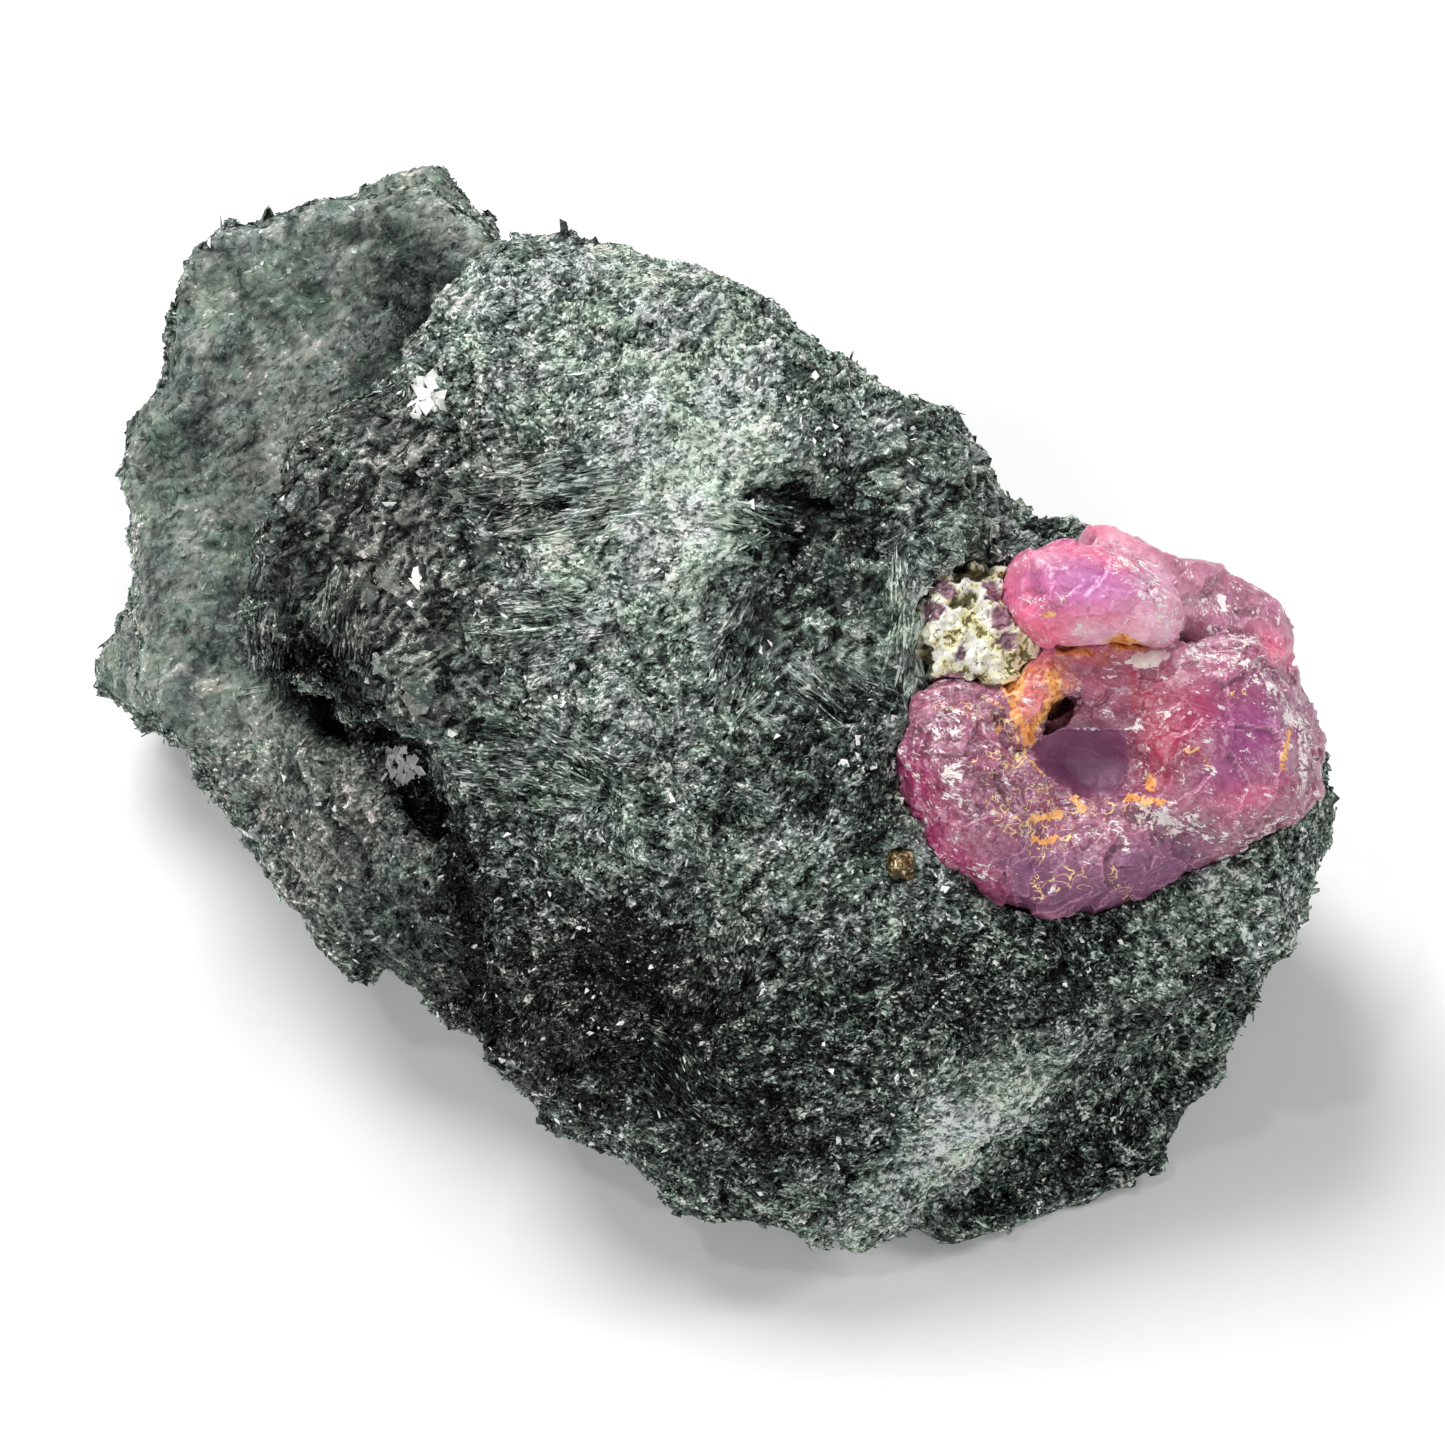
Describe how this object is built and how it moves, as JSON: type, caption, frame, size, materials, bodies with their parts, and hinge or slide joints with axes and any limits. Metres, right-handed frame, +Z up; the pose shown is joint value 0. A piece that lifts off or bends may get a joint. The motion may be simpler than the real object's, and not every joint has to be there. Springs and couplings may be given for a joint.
{
  "type": "ruby crystal on rock matrix",
  "caption": "Hand-sized chunk of dark green-black amphibole rock on a flat broken base, with a rounded pink-violet ruby cluster and pale mica at one end.",
  "frame": {"origin": "on the base, under the middle of the specimen's box", "axes": "+X along the longest side, towards the ruby's end; +Z up from the base; the show face leans back from -Y towards +Z"},
  "size_m": [0.0764, 0.0658, 0.04],
  "materials": {
    "amphibole_rock": "broken, granular and fibrous, glittering",
    "ruby_violet": "waxy to glassy, clouded, with pale scratches and orange iron stain",
    "ruby_pink": "waxy to glassy, clouded pink with a violet core",
    "pale_mica": "flaky and pearly",
    "brown_mineral": "glassy brown"
  },
  "bodies": {
    "root": {"matrix": "amphibole_rock", "ruby_main": "ruby_violet", "ruby_upper": "ruby_pink", "ruby_rear": "ruby_violet", "mica_patch": "pale_mica", "brown_grain": "brown_mineral"}
  },
  "joints": []
}
